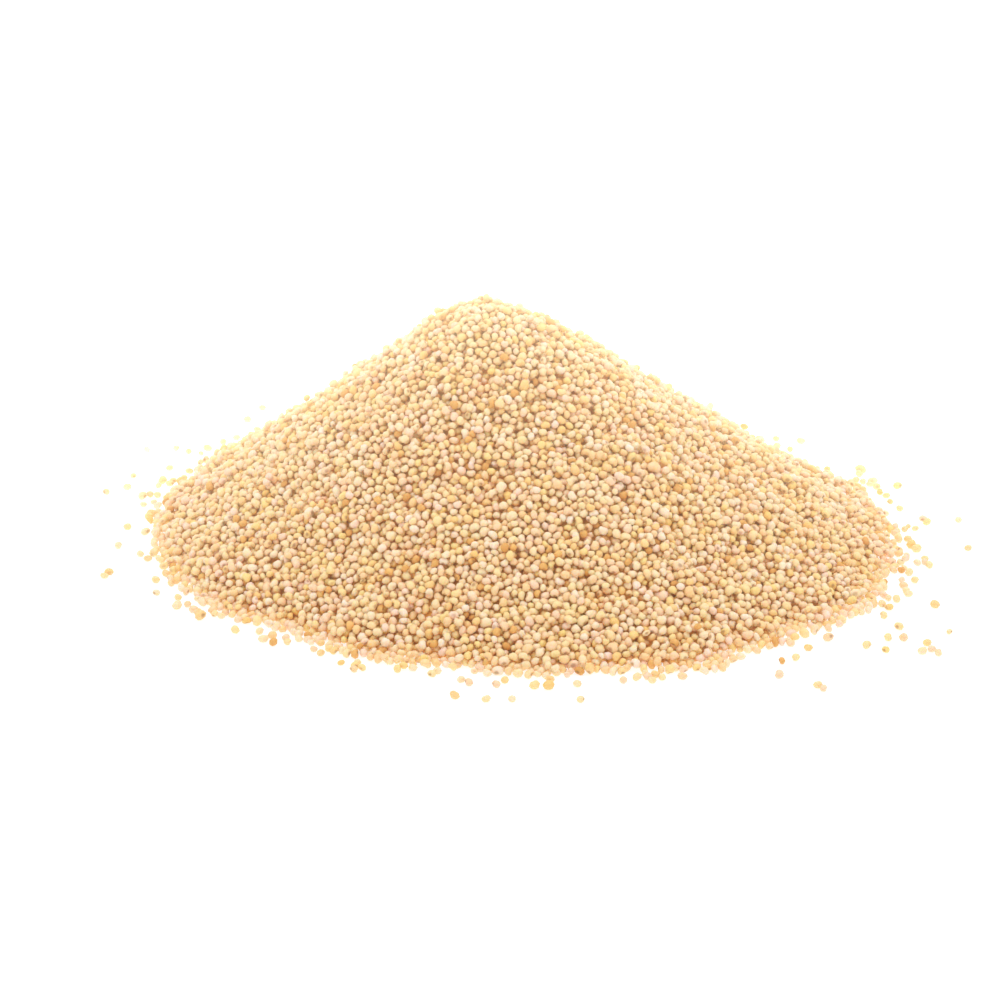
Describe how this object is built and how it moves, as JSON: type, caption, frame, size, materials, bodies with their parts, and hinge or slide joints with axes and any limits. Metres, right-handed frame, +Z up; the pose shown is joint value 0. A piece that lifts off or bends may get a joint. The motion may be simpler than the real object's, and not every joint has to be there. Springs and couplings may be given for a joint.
{
  "type": "heap of poppy seeds",
  "caption": "Low cone of loose white poppy seeds lying on a flat surface, with an uneven foot and stray seeds round it.",
  "frame": {"origin": "on the table, in the middle of the heap's extent in plan", "axes": "+Z up from the table, -Y towards the side that is seen, +X to the right as seen from there"},
  "size_m": [0.0894, 0.0894, 0.0281],
  "materials": {
    "cream_seeds": "matte seed coat, cream to pale yellow and pinkish beige, a few seeds amber"
  },
  "bodies": {
    "root": {"seed_heap": "cream_seeds"}
  },
  "joints": []
}
